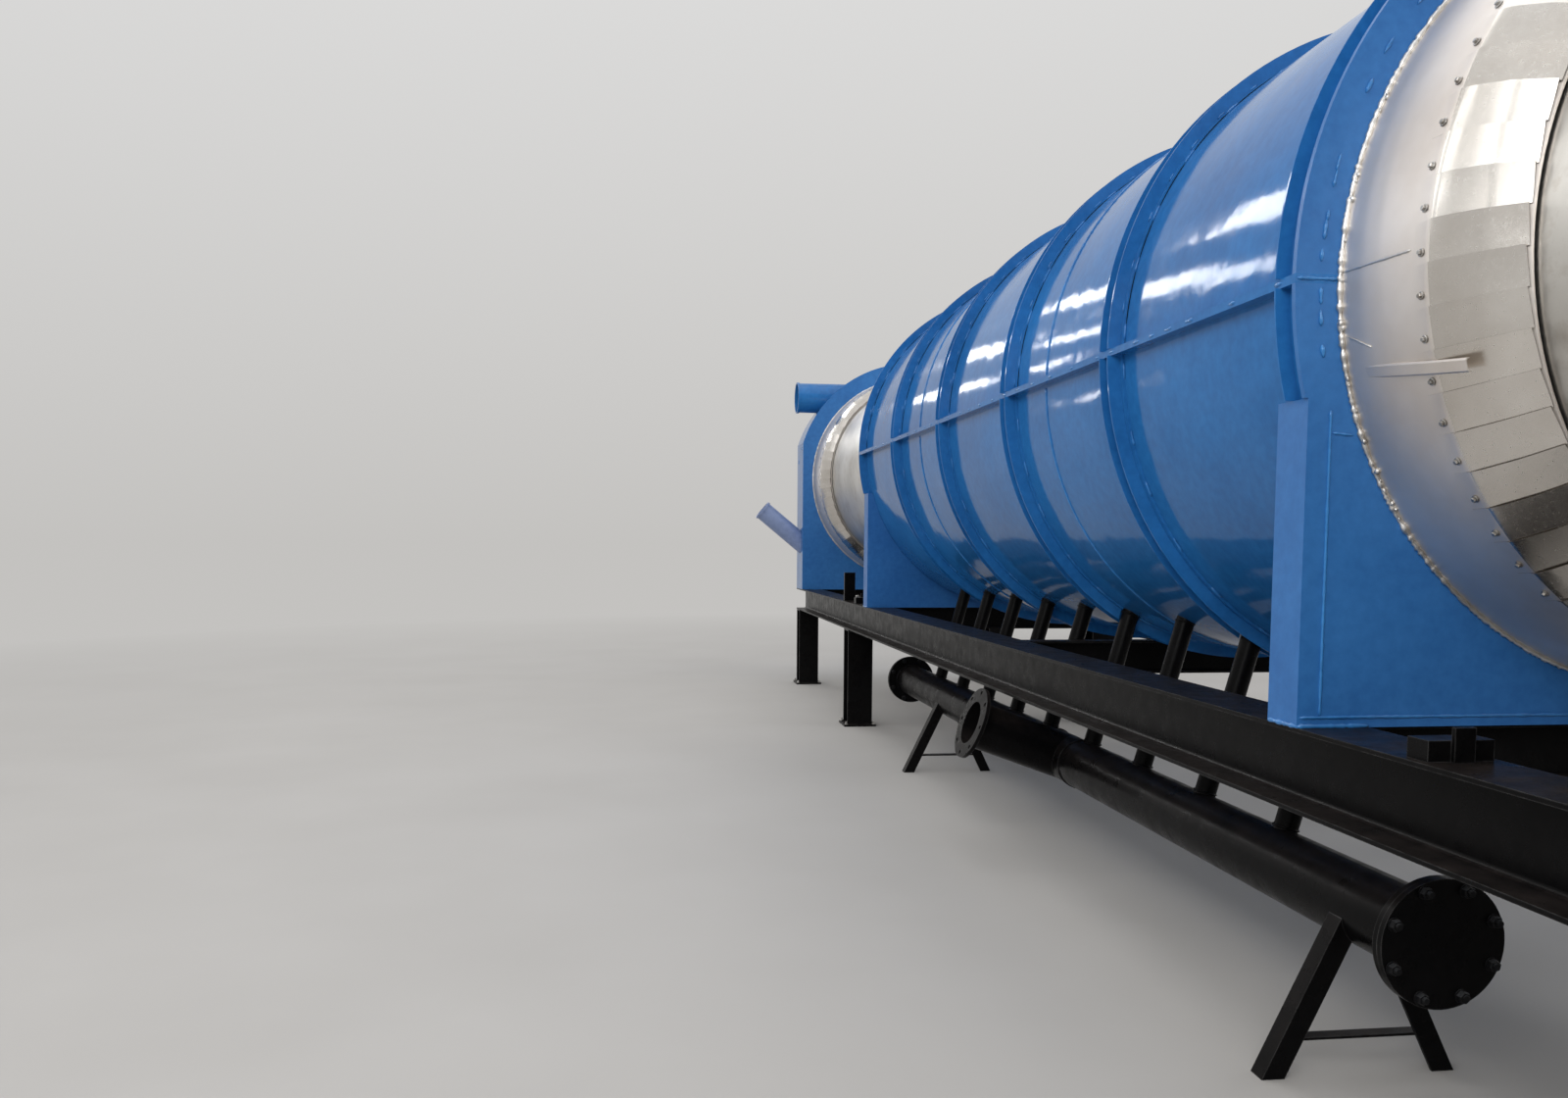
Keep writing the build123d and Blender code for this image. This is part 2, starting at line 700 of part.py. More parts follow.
os.makedirs("parts", exist_ok=True)
for name, solids in pieces.items():
    placed = [Pos(origin_shift, 0, 0) * solid for solid in solids]
    shape = placed[0] if len(placed) == 1 else Compound(children=placed)
    export_step(shape, os.path.join("parts", name + ".step"))

print("kiln axis at x", round(origin_shift, 3), "roller height", round(roller_height, 3))
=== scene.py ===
import math
import random
import bpy
import bmesh
from mathutils import Matrix, Vector


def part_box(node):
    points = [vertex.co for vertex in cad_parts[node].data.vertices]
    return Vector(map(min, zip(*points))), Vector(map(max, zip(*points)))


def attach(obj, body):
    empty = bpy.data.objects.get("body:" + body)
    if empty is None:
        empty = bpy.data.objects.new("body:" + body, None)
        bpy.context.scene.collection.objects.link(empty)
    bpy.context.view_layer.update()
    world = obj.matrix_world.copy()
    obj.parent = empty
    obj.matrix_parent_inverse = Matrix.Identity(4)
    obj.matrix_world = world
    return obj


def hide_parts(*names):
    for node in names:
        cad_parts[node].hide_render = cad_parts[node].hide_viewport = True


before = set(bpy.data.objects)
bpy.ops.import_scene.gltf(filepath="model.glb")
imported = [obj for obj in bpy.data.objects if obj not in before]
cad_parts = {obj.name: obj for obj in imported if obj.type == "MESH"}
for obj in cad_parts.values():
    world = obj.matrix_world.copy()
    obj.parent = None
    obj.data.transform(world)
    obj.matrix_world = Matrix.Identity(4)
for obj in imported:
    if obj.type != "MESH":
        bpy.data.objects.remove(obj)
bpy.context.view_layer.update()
random.seed(7)

# Sizes of the CAD model, in metres. The kiln axis is the line X = AX, Z = AZ, and Y runs along it
# from the middle of the furnace. The near end is at negative Y.
drum_low, drum_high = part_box("drum_shell")
AX = (drum_low.x + drum_high.x) / 2
AZ = 2.134
HALF_SHELL = 2.925          # to the outer face of the furnace's end plate
HOUSING_FRONT = 6.225       # to the face of a housing's front plate
MACHINE_END = 6.645
STATION = 3.85              # to the middle of a roller station
BEAM_TOP = 1.0
FRAME_HALF_WIDTH = 1.124
SKIN = 1.130                # outer radius of the furnace shell
FLANGE = 1.170              # outer radius of the end plates, and reach of the split flanges
OPENING = 1.050             # radius of the furnace's opening
HOUSING_OPENING = 1.020
# Each seal is a slightly tapered band and then a cone, in front of its plate
BAND = 0.300
TAPER = 0.026
REACH = 0.470
CONE_TIP = 0.910
LEAVES = 66
RIBS = [-HALF_SHELL + 0.038 + 1.1548 * i for i in range(6)]
STRIP_HALF = 0.060          # half the width of a rib's foot strip
CHANNEL_HALF = 0.038        # half the width of the channel on it
# The gas manifold's centre line and radius, its two ends, and the tee of its inlet
MX, MZ, MR = AX - 0.775, 0.460, 0.1095
NEAR_M, FAR_M = -3.024, 2.833
INLET_Y, TEE_HALF, INLET_ANGLE = -0.400, 0.180, math.radians(20)
BURNERS = [-2.250 + 0.540 * i for i in range(9)]
BURNER_LEAN = 0.284
COLUMN_X = 1.024
COLUMN_Y = (-(MACHINE_END - 0.130), -(STATION + 0.150), STATION - 0.205, MACHINE_END - 0.130)
# The faces that the seals stand on, each with the direction that it looks in
FURNACE_FACES = ((-HALF_SHELL, -1), (HALF_SHELL, 1))
HOUSING_FACES = ((-HOUSING_FRONT, 1), (HOUSING_FRONT, -1))
PROUD = 0.001               # how far the middle of most weld beads stands off its face


# Materials

HIGHLIGHT_EDGE_WIDTH = 0.004          # how far the painted edge highlight reaches in from an edge


def tree(name):
    """A new material with its node tree and its main shader."""
    m = bpy.data.materials.new(name)
    m.use_nodes = True
    nt = m.node_tree
    return m, nt, nt.nodes["Principled BSDF"]


def node(nt, kind, **settings):
    n = nt.nodes.new(kind)
    for key, value in settings.items():
        setattr(n, key, value)
    return n


def coords(nt, scale):
    """The object's own coordinates, in metres, times a scale for each axis."""
    c = node(nt, "ShaderNodeTexCoord")
    mp = node(nt, "ShaderNodeMapping")
    mp.inputs["Scale"].default_value = scale
    nt.links.new(c.outputs["Object"], mp.inputs["Vector"])
    return mp.outputs["Vector"]


def noise_tex(nt, scale, detail, rough=0.5, stretch=(1, 1, 1)):
    """Noise with about scale blotches to the metre. A stretched axis has more of them."""
    n = node(nt, "ShaderNodeTexNoise")
    n.inputs["Scale"].default_value = scale
    n.inputs["Detail"].default_value = detail
    n.inputs["Roughness"].default_value = rough
    nt.links.new(coords(nt, stretch), n.inputs["Vector"])
    return n.outputs["Fac"]


def ramp(nt, fac, stops):
    """A colour ramp through (position, colour) stops."""
    r = node(nt, "ShaderNodeValToRGB")
    e = r.color_ramp.elements
    while len(e) < len(stops):
        e.new(0.5)
    for el, (pos, col) in zip(e, stops):
        el.position = pos
        el.color = (*col, 1)
    nt.links.new(fac, r.inputs["Fac"])
    return r.outputs["Color"]


def grey(nt, fac, lo, hi, at):
    """A number that runs from lo to hi as fac runs between the two values in at."""
    m = node(nt, "ShaderNodeMapRange")
    m.inputs["From Min"].default_value, m.inputs["From Max"].default_value = at
    m.inputs["To Min"].default_value, m.inputs["To Max"].default_value = lo, hi
    nt.links.new(fac, m.inputs["Value"])
    return m.outputs["Result"]


def mix(nt, fac, a, b):
    """A mix of two colours. Each of the three is a socket or a constant."""
    m = node(nt, "ShaderNodeMix", data_type="RGBA")
    fac_in, a_in, b_in = m.inputs[0], m.inputs[6], m.inputs[7]
    if isinstance(fac, (int, float)):
        fac_in.default_value = fac
    else:
        nt.links.new(fac, fac_in)
    for sock, v in ((a_in, a), (b_in, b)):
        if isinstance(v, tuple):
            sock.default_value = (*v, 1)
        else:
            nt.links.new(v, sock)
    return m.outputs[2]


def math_node(nt, op, a, b):
    m = node(nt, "ShaderNodeMath", operation=op)
    for sock, v in zip(m.inputs, (a, b)):
        if isinstance(v, (int, float)):
            sock.default_value = v
        else:
            nt.links.new(v, sock)
    return m.outputs[0]


def bump(nt, height, strength, distance, normal=None):
    b = node(nt, "ShaderNodeBump")
    b.inputs["Strength"].default_value = strength
    b.inputs["Distance"].default_value = distance
    nt.links.new(height, b.inputs["Height"])
    if normal is not None:
        nt.links.new(normal, b.inputs["Normal"])
    return b.outputs["Normal"]


def upward(nt, lo, hi):
    """How much a surface faces up."""
    g = node(nt, "ShaderNodeNewGeometry")
    s = node(nt, "ShaderNodeSeparateXYZ")
    nt.links.new(g.outputs["Normal"], s.inputs[0])
    return grey(nt, s.outputs["Z"], 0.0, 1.0, (lo, hi))


def painted_edge_highlight(nt):
    """How strong the painted highlight on an edge is: most where it is sharp, and broken up by noise."""
    rounded = node(nt, "ShaderNodeBevel", samples=4)
    rounded.inputs["Radius"].default_value = HIGHLIGHT_EDGE_WIDTH
    flat = node(nt, "ShaderNodeNewGeometry")
    turn = node(nt, "ShaderNodeVectorMath", operation="DISTANCE")
    nt.links.new(rounded.outputs["Normal"], turn.inputs[0])
    nt.links.new(flat.outputs["Normal"], turn.inputs[1])
    return math_node(nt, "MULTIPLY", grey(nt, turn.outputs["Value"], 0.0, 0.8, (0.12, 0.5)),
                     grey(nt, noise_tex(nt, 18, 4, 0.6), 0.2, 1.0, (0.35, 0.65)))


def paint(name, dark, light, rough, dust=(0.35, 0.36, 0.38), dust_amount=0.25,
          wave=0.35, specular=0.35, edge=None):
    """Paint on steel: two shades, dust where it faces up, waves in the sheet, and a painted highlight along
    sharp edges where an edge colour is given.
    """
    m, nt, b = tree(name)
    patches = ramp(nt, noise_tex(nt, 1.6, 5, 0.6), [(0.3, dark), (0.7, light)])
    darker = tuple(c * 0.86 for c in dark)
    specks = ramp(nt, noise_tex(nt, 28, 4, 0.6), [(0.35, darker), (0.65, light)])
    settled = math_node(nt, "MULTIPLY", upward(nt, 0.25, 0.95),
                        grey(nt, noise_tex(nt, 9, 6, 0.7), 0.15 * dust_amount, dust_amount, (0.35, 0.7)))
    base = mix(nt, settled, mix(nt, 0.3, patches, specks), dust)
    # painted highlight: sharp edges are mixed towards the lighter edge colour
    if edge is not None:
        base = mix(nt, painted_edge_highlight(nt), base, edge)
    nt.links.new(base, b.inputs["Base Color"])
    clean_rough = grey(nt, noise_tex(nt, 12, 5, 0.65), rough[0], rough[1], (0.3, 0.75))
    nt.links.new(math_node(nt, "ADD", clean_rough, math_node(nt, "MULTIPLY", settled, 0.5)),
                 b.inputs["Roughness"])
    # waves of half a metre in the sheet, ripples in the paint, and its grain
    normal = bump(nt, noise_tex(nt, 2.2, 2, 0.45), wave, 0.02)
    normal = bump(nt, noise_tex(nt, 14, 2, 0.5), 0.12, 0.004, normal)
    normal = bump(nt, noise_tex(nt, 260, 2, 0.5), 0.06, 0.0006, normal)
    nt.links.new(normal, b.inputs["Normal"])
    b.inputs["Specular IOR Level"].default_value = specular
    return m


def metal(name, dark, light, rough, grain=(1, 1, 1), grain_scale=60, wave=0.3, stain=None):
    """Bare metal: two shades, stains, a brushed grain that may be stretched, and waves in the sheet."""
    m, nt, b = tree(name)
    base = ramp(nt, noise_tex(nt, 2.4, 4, 0.6), [(0.3, dark), (0.7, light)])
    if stain is not None:
        spots = grey(nt, noise_tex(nt, 7, 7, 0.7), 0.0, 0.5, (0.52, 0.72))
        base = mix(nt, spots, base, stain)
    nt.links.new(base, b.inputs["Base Color"])
    b.inputs["Metallic"].default_value = 1.0
    brushed = noise_tex(nt, grain_scale, 3, 0.6, grain)
    nt.links.new(grey(nt, brushed, rough[0], rough[1], (0.3, 0.7)), b.inputs["Roughness"])
    normal = bump(nt, noise_tex(nt, 3.0, 2, 0.45), wave, 0.015)
    normal = bump(nt, brushed, 0.05, 0.0006, normal)
    nt.links.new(normal, b.inputs["Normal"])
    return m


BLUE = paint("blue_gloss", (0.015, 0.115, 0.34), (0.028, 0.185, 0.49), rough=(0.06, 0.13),
             dust=(0.22, 0.26, 0.32), dust_amount=0.28, specular=0.2)
BLUE_FLAT = paint("blue_plate", (0.020, 0.118, 0.36), (0.040, 0.180, 0.47), rough=(0.3, 0.45),
                  wave=0.2, specular=0.25)
BLUE_WELD = paint("blue_weld", (0.02, 0.13, 0.38), (0.05, 0.25, 0.6), rough=(0.1, 0.25),
                  wave=0.1, specular=0.4)
# the black paint's edge colour is a painted highlight along its sharp edges
BLACK = paint("black_gloss", (0.002, 0.002, 0.0023), (0.0055, 0.005, 0.005), rough=(0.2, 0.42),
              dust=(0.10, 0.078, 0.07), dust_amount=0.22, wave=0.2, specular=0.06,
              edge=(0.085, 0.083, 0.082))
STEEL = metal("stainless", (0.68, 0.62, 0.565), (0.84, 0.80, 0.76), rough=(0.46, 0.56),
              grain=(1, 14, 1), wave=0.12)
LEAF = metal("stainless_leaf", (0.58, 0.54, 0.49), (0.76, 0.73, 0.69), rough=(0.22, 0.28),
             grain_scale=110, wave=0.22)
DRUM_STEEL = metal("drum_sheet", (0.52, 0.50, 0.46), (0.72, 0.70, 0.66), rough=(0.28, 0.46),
                   grain=(14, 1, 14), stain=(0.34, 0.27, 0.2))
# painted shade: a near-black metal for the leaves' cut edges, which draws the shadow lines between the
# leaves
LEAF_RIM_SHADE = metal("leaf_rim_painted_shade", (0.10, 0.09, 0.08), (0.22, 0.20, 0.18), rough=(0.4, 0.6), grain_scale=90)
BEAD = metal("bright_weld", (0.50, 0.49, 0.47), (0.80, 0.79, 0.77), rough=(0.3, 0.5), grain_scale=140)
WORN = metal("worn_steel", (0.20, 0.19, 0.18), (0.42, 0.40, 0.38), rough=(0.28, 0.5),
             stain=(0.16, 0.09, 0.05))
BOLT = metal("bolt_steel", (0.32, 0.31, 0.29), (0.55, 0.54, 0.52), rough=(0.25, 0.45),
             stain=(0.2, 0.12, 0.07))
CAST = paint("cast_black", (0.004, 0.004, 0.0045), (0.011, 0.011, 0.012), rough=(0.4, 0.65),
             wave=0.1, specular=0.12)
# painted shade: a near-black material for thin strips laid where the gaps between parts are in shade
PAINTED_GAP_SHADE = paint("painted_gap_shade", (0.002, 0.002, 0.003), (0.004, 0.004, 0.006), rough=(0.7, 0.9),
             wave=0.0, dust_amount=0.0, specular=0.1)
SPOUT = paint("spout_paint", (0.18, 0.24, 0.42), (0.28, 0.35, 0.56), rough=(0.25, 0.4))

# The CAD nodes' materials, by the start of the node's name. The other nodes are gloss blue.
FINISHES = (
    (("drum_shell",), DRUM_STEEL),
    (("feed_spout",), SPOUT),
    (("frame_", "gas_manifold", "manifold_", "burner_", "roller_bed"), BLACK),
    (("furnace_seal", "housing_seal"), STEEL),
    (("seal_leaves",), LEAF),
    (("roller_bearings",), CAST),
    (("tyre", "roller"), WORN),
    (("end_plate", "saddle", "housing_front"), BLUE_FLAT),
)
for name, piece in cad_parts.items():
    finish = next((m for starts, m in FINISHES if name.startswith(starts)), BLUE)
    piece.data.materials.clear()
    piece.data.materials.append(finish)


# The camera stands where the photograph's did. Its angles are in radians, its lens and sensor in mm.

YAW, PITCH, ROLL = 0.124, 0.070, -0.006
CAMERA_AT = (AX - 2.801, -5.733, 1.464)
forward = Vector((math.sin(YAW) * math.cos(PITCH), math.cos(YAW) * math.cos(PITCH), -math.sin(PITCH)))
level = Vector((math.cos(YAW), -math.sin(YAW), 0))
down = forward.cross(level)
cam_x = level * math.cos(ROLL) + down * math.sin(ROLL)
cam_y = level * math.sin(ROLL) - down * math.cos(ROLL)
cam_data = bpy.data.cameras.new("camera")
cam_data.lens = 27.0
cam_data.sensor_width = 36.0
cam_data.shift_y = 79.0 / 1600.0
cam_data.clip_end = 200
cam = bpy.data.objects.new("camera", cam_data)
place = Matrix((cam_x, cam_y, -forward)).transposed().to_4x4()
place.translation = Vector(CAMERA_AT)
cam.matrix_world = place
bpy.context.scene.collection.objects.link(cam)
bpy.context.scene.camera = cam


# Helpers for the dressed pieces

def add(name, bm, material, smooth=True):
    """A piece from a bmesh, which rides on the fixed frame."""
    mesh = bpy.data.meshes.new(name)
    bmesh.ops.recalc_face_normals(bm, faces=bm.faces)
    bm.to_mesh(mesh)
    bm.free()
    if smooth:
        for p in mesh.polygons:
            p.use_smooth = True
    mesh.materials.append(material)
    o = bpy.data.objects.new(name, mesh)
    bpy.context.scene.collection.objects.link(o)
    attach(o, "frame")
    return o


def polar(angle, r, y):
    """A point about the kiln axis: angle 0 is to the right, 90 up and 180 to the left."""
    a = math.radians(angle)
    return Vector((AX + r * math.cos(a), y, AZ + r * math.sin(a)))


def arc(start, end, r, y, step=0.012):
    """Points along an arc about the kiln axis."""
    count = max(2, int(abs(math.radians(end - start)) * r / step) + 1)
    return [polar(start + (end - start) * i / (count - 1), r, y) for i in range(count)]


def line(a, b, step=0.012):
    """Points along a straight run, whose ends give X from the kiln axis."""
    a, b = (Vector((AX + x, y, z)) for x, y, z in (a, b))
    count = max(2, int((b - a).length / step) + 1)
    return [a.lerp(b, i / (count - 1)) for i in range(count)]


def around(axis):
    """Two directions square to an axis and to each other."""
    u = axis.orthogonal().normalized()
    return u, axis.cross(u)


def circle(point, axis, r, count=30):
    """Points on a circle about an axis through a point."""
    u, v = around(Vector(axis).normalized())
    return [Vector(point) + (u * math.cos(k * math.tau / count) + v * math.sin(k * math.tau / count)) * r
            for k in range(count)]


def skin_over(bm, rings, closed=False):
    """Faces between rings of vertices, and end faces where the run of rings is open."""
    sides = len(rings[0])
    pairs = list(zip(rings, rings[1:])) + ([(rings[-1], rings[0])] if closed else [])
    for a, b in pairs:
        for k in range(sides):
            bm.faces.new((a[k], a[(k + 1) % sides], b[(k + 1) % sides], b[k]))
    if not closed:
        bm.faces.new(rings[0][::-1])
        bm.faces.new(rings[-1])


def bead(bm, points, radius, lump, sides=6, closed=False):
    """A weld bead along some points: a tube whose thickness wanders by the share lump."""
    rings = []
    count = len(points)
    for i, p in enumerate(points):
        ahead = points[(i + 1) % count] if closed or i + 1 < count else p
        behind = points[i - 1] if closed or i > 0 else p
        run = (ahead - behind).normalized()
        side = run.orthogonal() if i == 0 else side - run * side.dot(run)
        side.normalize()
        other = run.cross(side)
        end = 0.35 if not closed and i in (0, count - 1) else 1.0
        r = radius * end * (1 + lump * random.uniform(-1, 1))
        rings.append([bm.verts.new(p + (side * math.cos(k * math.tau / sides)
                                        + other * math.sin(k * math.tau / sides)) * r)
                      for k in range(sides)])
    skin_over(bm, rings, closed)


def prism(bm, at, axis, radius, height, sides, turn=0.0, crown=0.25):
    """A washer, nut, bolt head or stud: a prism with a chamfered top."""
    axis = Vector(axis).normalized()
    u, v = around(axis)
    at = Vector(at)
    rings = []
    for r, h in ((radius, 0), (radius, height * (1 - crown)), (radius * 0.82, height)):
        rings.append([bm.verts.new(at + axis * h + (u * math.cos(turn + k * math.tau / sides)
                                                    + v * math.sin(turn + k * math.tau / sides)) * r)
                      for k in range(sides)])
    skin_over(bm, rings)


def fastener(bm, at, axis, turn, nut, washer=None, stud=None):
    """A nut, on a washer and under a stud's end where they are given. Each is a radius and a height."""
    axis = Vector(axis)
    stacked = 0.0
    for part, sides, angle in ((washer, 20, 0.0), (nut, 6, turn), (stud, 12, 0.0)):
        if part is not None:
            radius, height = part
            prism(bm, at + axis * stacked, axis, radius, height, sides, angle)
            stacked += height


def cone_radius(opening, y):
    """The seal sheet's outer radius at a distance y in front of its plate."""
    end = opening - TAPER
    if y < BAND:
        return opening - TAPER * y / BAND
    return end + (CONE_TIP - end) * (y - BAND) / (REACH - BAND)


# The leaf seals. A leaf's line runs from its root on the band to its tip over the drum, as the
# distance in front of the plate and the height above the seal sheet. Its first two runs are flat.

LEAF_LINE = [(0.250, 0.0006), (0.284, 0.0009), (0.300, 0.0022), (0.312, 0.0044), (0.326, 0.0072),
             (0.342, 0.0096), (0.370, 0.0122), (0.394, 0.0142), (0.404, 0.0142), (0.416, 0.0128),
             (0.442, 0.0090), (0.4695, 0.0050)]
FLAT_RUNS = 2
FIRST_LEAF = 146.1          # angle of the first leaf's middle, in degrees
LEAF_FREE = 0.284           # where a leaf starts to lift off the band
LEAF_SLOPE = 0.17           # length of the part that stands off it
LEAF_STEPS = 6
LEAF_LAP = 0.016            # how much wider a leaf is than its pitch
LEAF_CURL = 0.0076          # how far the upper edge stands over the neighbour
LEAF_SHEET = 0.0022
LEAF_BOLT_Y, LEAF_BOLT_SIDE, LEAF_BOLT_SEAT = 0.275, 0.020, 0.0034


def seal_leaf_ring(name, opening, plate_y, side, node_name):
    """The overlapping spring leaves of one seal. Each is folded at its bolt and again lower down, and
    the edge towards lower angles lies over its neighbour."""
    bm = bmesh.new()
    bolts = bmesh.new()
    pitch = math.tau / LEAVES
    for i in range(LEAVES):
        centre = math.radians(FIRST_LEAF) + i * pitch + random.uniform(-0.0016, 0.0016)
        outward = Vector((math.cos(centre), 0, math.sin(centre)))
        across = Vector((-math.sin(centre), 0, math.cos(centre)))
        tip_lift = random.uniform(0.0, 0.0022)
        fold = random.uniform(-0.004, 0.004)
        twist = random.uniform(-0.0012, 0.0022)
        rows = []
        for y, off in LEAF_LINE:
            down = max(0.0, (y - BAND) / LEAF_SLOPE)
            free = min(1.0, 0.1 + max(0.0, (y - LEAF_FREE) / 0.05))
            base = cone_radius(opening, y)
            yy = y + (fold * (1 - abs(down - 0.6) / 0.6) if 0.1 < down < 0.9 else 0.0)
            row = []
            for k in range(LEAF_STEPS + 1):
                s = k / LEAF_STEPS - 0.5
                lift = LEAF_CURL * (0.5 - s) ** 2 * free + twist * s * down
                r = base + off + lift + tip_lift * down * down
                a = s * pitch * (base + LEAF_LAP) / base
                at = (outward * math.cos(a) + across * math.sin(a)) * r
                row.append(bm.verts.new((AX + at.x, plate_y + side * yy, AZ + at.z)))
            rows.append(row)
        for n, (a, b) in enumerate(zip(rows, rows[1:])):
            for k in range(LEAF_STEPS):
                face = bm.faces.new((a[k], a[k + 1], b[k + 1], b[k]))
                face.material_index = 2 if n < FLAT_RUNS else 0
        at = outward * (cone_radius(opening, LEAF_BOLT_Y) + LEAF_BOLT_SEAT) + across * LEAF_BOLT_SIDE
        at = Vector((AX + at.x, plate_y + side * LEAF_BOLT_Y, AZ + at.z))
        prism(bolts, at - outward * 0.002, outward, 0.0095, 0.0026, 14, crown=0.4)
        prism(bolts, at, outward, 0.0062, 0.0066, 6, random.uniform(0, 1))
    ring = add("seal_leaf_ring_" + name, bm, LEAF)
    # a leaf's cut edge takes the material after its face's own, a near-black metal that is painted shade
    # along each leaf's edge
    for m in (LEAF_RIM_SHADE, STEEL, LEAF_RIM_SHADE):
        ring.data.materials.append(m)
    thick = ring.modifiers.new("thickness", "SOLIDIFY")
    thick.thickness = LEAF_SHEET
    thick.offset = -1
    thick.material_offset_rim = 1
    crisp = ring.modifiers.new("crisp edges", "EDGE_SPLIT")
    crisp.split_angle = math.radians(35)
    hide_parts(node_name)
    add("seal_bolts_" + name, bolts, BOLT, smooth=False)


seal_leaf_ring("furnace_near", OPENING, -HALF_SHELL, -1, "seal_leaves_near")
seal_leaf_ring("housing_near", HOUSING_OPENING, -HOUSING_FRONT, 1, "seal_leaves_near")
seal_leaf_ring("furnace_far", OPENING, HALF_SHELL, 1, "seal_leaves_far")
seal_leaf_ring("housing_far", HOUSING_OPENING, HOUSING_FRONT, -1, "seal_leaves_far")

# Welds between the seal bands and the plates that they stand in, along the bands' own seams, and
# lumps beside the near one
bm = bmesh.new()
for y, side in FURNACE_FACES:
    bead(bm, arc(0, 359.4, OPENING + 0.0035, y + side * 0.003, 0.0075), 0.0072, 0.42, closed=True)
for y, side in HOUSING_FACES:
    bead(bm, arc(0, 359.4, HOUSING_OPENING + 0.003, y + side * 0.002), 0.0055, 0.35, closed=True)
for faces, opening in ((FURNACE_FACES, OPENING), (HOUSING_FACES, HOUSING_OPENING)):
    for y, side in faces:
        for angle in (179.2, 359.2):
            seam = [polar(angle, cone_radius(opening, s * 0.01) + 0.0005, y + side * s * 0.01)
                    for s in range(1, 25)]
            bead(bm, seam, 0.0032, 0.3)
for _ in range(26):
    a = random.uniform(140, 215)
    lump = arc(a, a + random.uniform(0.3, 1.1), OPENING + random.uniform(0.000, 0.006),
               -HALF_SHELL - random.uniform(0.006, 0.012), 0.006)
    bead(bm, lump, random.uniform(0.004, 0.009), 0.4)
add("band_welds", bm, BEAD)


def strap(bm, rows, half, height, wall):
    """A folded strap: rows of (point, outward direction, direction across)."""
    cut = 0.004
    outer = [(-half, 0), (-half, height - cut), (cut - half, height), (half - cut, height),
             (half, height - cut), (half, 0)]
    inner = [(a * (half - wall) / half, b * (height - wall) / height) for a, b in reversed(outer)]
    rings = [[bm.verts.new(p + across * a + out * b) for a, b in outer + inner]
             for p, out, across in rows]
    count = len(outer + inner)
    for a, b in zip(rings, rings[1:]):
        for k in range(count):
            bm.faces.new((a[k], a[(k + 1) % count], b[(k + 1) % count], b[k]))
    for r in (rings[0], rings[-1]):
        for k in range(len(outer) - 1):
            bm.faces.new((r[k], r[k + 1], r[count - 2 - k], r[count - 1 - k]))


# A hat-section strap from the near plate out over the leaves, with a short tack beside it
STRAP_ROWS, STRAP_FOOT = 12, 1.030
bm = bmesh.new()
rows = []
for s in range(STRAP_ROWS + 1):
    y = 0.016 + s * 0.032
    angle = 192.9 + 2.3 * s / STRAP_ROWS
    out = (polar(angle, 1, 0) - polar(angle, 0, 0)).normalized()
    across = Vector((0, 1, 0)).cross(out)
    if y < BAND:
        foot = STRAP_FOOT + 0.004 * (1 - s / STRAP_ROWS)
    else:
        foot = STRAP_FOOT - 0.008 * (y - BAND) / 0.1
    rows.append((polar(angle, foot, -HALF_SHELL - y), out, across))
strap(bm, rows, 0.016, 0.010, 0.0022)
add("seal_strap", bm, STEEL, smooth=False)

bm = bmesh.new()
tack = [polar(187.9 + 2.2 * s / 8, cone_radius(OPENING, 0.02 + s * 0.01) + 0.001,
              -HALF_SHELL - 0.02 - s * 0.01) for s in range(9)]
bead(bm, tack, 0.0022, 0.4)
add("seal_tack", bm, BEAD)

# Weld lumps on the end plates, at the angles where the photograph shows them and then round the
# rest of the upper half, and the welds of the split flanges
SEEN_LUMPS = [165.0, 167.0, 171.9, 173.7, 177.0, 182.2, 185.0, 189.3]
LUMP_RADIUS = 1.104
bm = bmesh.new()
for y, side in FURNACE_FACES:
    for a in SEEN_LUMPS + list(range(4, 158, 6)) + list(range(-14, 0, 5)):
        a += 0.0 if a in SEEN_LUMPS else random.uniform(-0.8, 0.8)
        span = random.uniform(0.7, 1.3)
        lump = arc(a - span, a + span, LUMP_RADIUS + random.uniform(-0.003, 0.003), y + side * PROUD, 0.008)
        bead(bm, lump, random.uniform(0.0035, 0.0055), 0.35)
    for x in (-1, 1):
        bead(bm, line((x * 1.056, y + side * PROUD, AZ), (x * 1.165, y + side * PROUD, AZ), 0.008),
             0.0045, 0.4)
for x in (-1, 1):
    y = -HALF_SHELL + 0.06
    while y < HALF_SHELL - 0.1:
        length = random.uniform(0.03, 0.055)
        bead(bm, line((x * (FLANGE - 0.0015), y, AZ), (x * (FLANGE - 0.0015), y + length, AZ), 0.008),
             0.0048, 0.35)
        y += length + random.uniform(0.07, 0.22)
add("end_plate_welds", bm, BLUE_WELD)


def free_edges(n, half):
    """The edges of rib n, less the one that lies against an end plate."""
    edges = [-half, half]
    if n == 0:
        edges.remove(-half)
    if n == len(RIBS) - 1:
        edges.remove(half)
    return edges


def skin_angle(length):
    """The angle, in degrees, that a length takes up on the shell's skin."""
    return math.degrees(length / SKIN)


